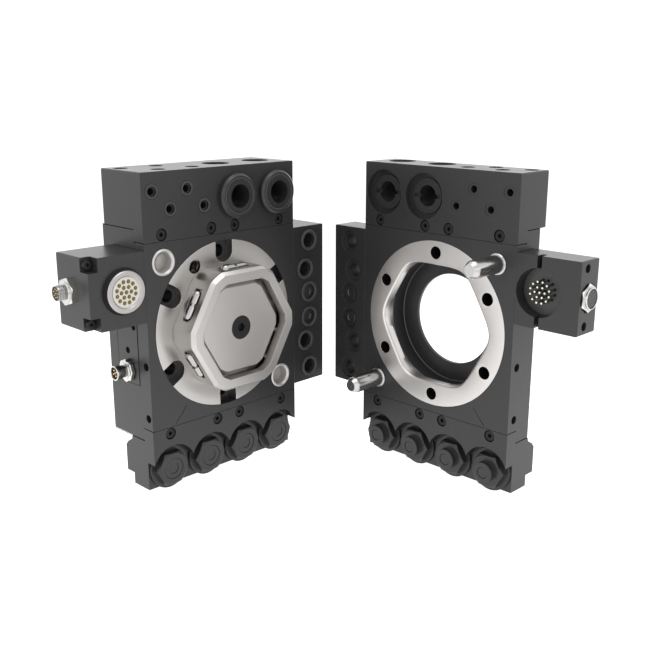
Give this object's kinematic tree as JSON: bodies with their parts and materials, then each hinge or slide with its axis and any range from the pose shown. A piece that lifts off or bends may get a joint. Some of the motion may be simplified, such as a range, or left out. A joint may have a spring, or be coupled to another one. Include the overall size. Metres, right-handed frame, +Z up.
{
  "type": "robotic tool changer",
  "caption": "Robotic tool changer in two halves: hexagonal roller-lock nose, mating lock ring, guide pins, air ports, fluid couplings and spring contact modules.",
  "frame": {"origin": "centre of the master half's robot mounting face, on the axis of its bolt circle and locking nose", "axes": "+Y into the robot along the master's axis, so its mating face looks along -Y; +X across the master, towards the tool half; +Z up; the tool half stands a quarter turn round, its mating face looking along -X"},
  "size_m": [0.307, 0.3337, 0.2703],
  "materials": {
    "black_anodised": "satin black anodised, finely blasted",
    "satin_steel": "satin ground stainless steel",
    "bright_steel": "polished hardened steel",
    "black_steel": "black oxide steel",
    "nickel": "nickel plated brass",
    "gold": "gold plated contacts",
    "pale_plastic": "pale insulator",
    "pale_metal": "clear anodised, satin",
    "black_plastic": "matt black insulator",
    "rubber": "matt black seal rubber"
  },
  "bodies": {
    "master_side": {"master_body": "black_anodised", "master_flange": "satin_steel", "flange_screws": "black_steel", "rear_cover": "black_anodised", "rear_cover_screws": "black_steel", "guide_bushes": "bright_steel", "master_top_block": "black_anodised", "master_top_screws": "black_steel", "port_collars": "black_steel", "collar_seals": "rubber", "master_port_seals": "rubber", "master_air_module": "black_anodised", "master_air_screws": "black_steel", "master_air_seals": "rubber", "master_signal_housing": "black_anodised", "contact_bezel": "pale_metal", "contact_disc": "pale_plastic", "contact_pads": "gold", "contact_seal": "rubber", "master_signal_screws": "bright_steel", "signal_plug_shell": "nickel", "signal_plug_pins": "gold", "sensor_cover": "black_anodised", "sensor_cover_screws": "black_steel", "sensor_plug_shell": "nickel", "sensor_plug_pins": "gold", "master_bottom_block": "black_anodised", "master_bottom_screws": "black_steel", "master_couplings": "black_steel"},
    "lock_cam_body": {"lock_piston": "bright_steel", "piston_seal": "rubber", "lock_cam": "satin_steel", "cam_screw": "black_steel"},
    "roller_1": {"lock_roller_1": "bright_steel"},
    "roller_2": {"lock_roller_2": "bright_steel"},
    "roller_3": {"lock_roller_3": "bright_steel"},
    "roller_4": {"lock_roller_4": "bright_steel"},
    "roller_5": {"lock_roller_5": "bright_steel"},
    "roller_6": {"lock_roller_6": "bright_steel"},
    "air_poppets_master": {"master_air_poppets": "bright_steel"},
    "shutters": {"coupling_shutters": "black_steel"},
    "tool_side": {"tool_body": "black_anodised", "tool_lock_ring": "satin_steel", "lock_ring_screws": "black_steel", "guide_pins": "bright_steel", "tool_top_block": "black_anodised", "tool_top_screws": "black_steel", "tool_port_inserts": "black_steel", "tool_air_module": "black_anodised", "tool_air_screws": "black_steel", "tool_signal_housing": "black_anodised", "pin_carrier": "black_plastic", "signal_socket_shell": "nickel", "signal_socket_insert": "black_plastic", "tool_bottom_block": "black_anodised", "tool_bottom_screws": "black_steel", "tool_couplings": "black_steel"},
    "pins": {"spring_pins": "gold"},
    "air_poppets_tool": {"tool_air_poppets": "bright_steel"},
    "nipple_poppets": {"coupling_poppets": "black_steel"}
  },
  "joints": [
    {"name": "cam_slide", "type": "slide", "parent": "master_side", "child": "lock_cam_body", "axis": [0, 1, 0], "range_m": [0, 0.004]},
    {"name": "roller_1_slide", "type": "slide", "parent": "master_side", "child": "roller_1", "axis": [0.866, 0, -0.5], "range_m": [0, 0.004]},
    {"name": "roller_2_slide", "type": "slide", "parent": "master_side", "child": "roller_2", "axis": [0.866, 0, 0.5], "range_m": [0, 0.004]},
    {"name": "roller_3_slide", "type": "slide", "parent": "master_side", "child": "roller_3", "axis": [0, 0, 1], "range_m": [0, 0.004]},
    {"name": "roller_4_slide", "type": "slide", "parent": "master_side", "child": "roller_4", "axis": [-0.866, 0, 0.5], "range_m": [0, 0.004]},
    {"name": "roller_5_slide", "type": "slide", "parent": "master_side", "child": "roller_5", "axis": [-0.866, 0, -0.5], "range_m": [0, 0.004]},
    {"name": "roller_6_slide", "type": "slide", "parent": "master_side", "child": "roller_6", "axis": [0, 0, -1], "range_m": [0, 0.004]},
    {"name": "docking_slide", "type": "slide", "parent": "master_side", "child": "tool_side", "axis": [1, 0, 0], "range_m": [0, 0.04]},
    {"name": "contact_pin_travel", "type": "slide", "parent": "tool_side", "child": "pins", "axis": [1, 0, 0], "range_m": [0, 0.003], "stiffness_N_per_m": 600, "springref_m": -0.002},
    {"name": "master_poppet_travel", "type": "slide", "parent": "master_side", "child": "air_poppets_master", "axis": [0, 1, 0], "range_m": [0, 0.004], "stiffness_N_per_m": 800, "springref_m": -0.002},
    {"name": "tool_poppet_travel", "type": "slide", "parent": "tool_side", "child": "air_poppets_tool", "axis": [1, 0, 0], "range_m": [0, 0.004], "stiffness_N_per_m": 800, "springref_m": -0.002},
    {"name": "shutter_travel", "type": "slide", "parent": "master_side", "child": "shutters", "axis": [0, 1, 0], "range_m": [0, 0.005], "stiffness_N_per_m": 1500, "springref_m": -0.002},
    {"name": "nipple_poppet_travel", "type": "slide", "parent": "tool_side", "child": "nipple_poppets", "axis": [1, 0, 0], "range_m": [0, 0.003], "stiffness_N_per_m": 1500, "springref_m": -0.002}
  ],
  "couplings": [
    {"joint": "roller_1_slide", "follows": "cam_slide", "ratio": 1},
    {"joint": "roller_2_slide", "follows": "cam_slide", "ratio": 1},
    {"joint": "roller_3_slide", "follows": "cam_slide", "ratio": 1},
    {"joint": "roller_4_slide", "follows": "cam_slide", "ratio": 1},
    {"joint": "roller_5_slide", "follows": "cam_slide", "ratio": 1},
    {"joint": "roller_6_slide", "follows": "cam_slide", "ratio": 1}
  ]
}
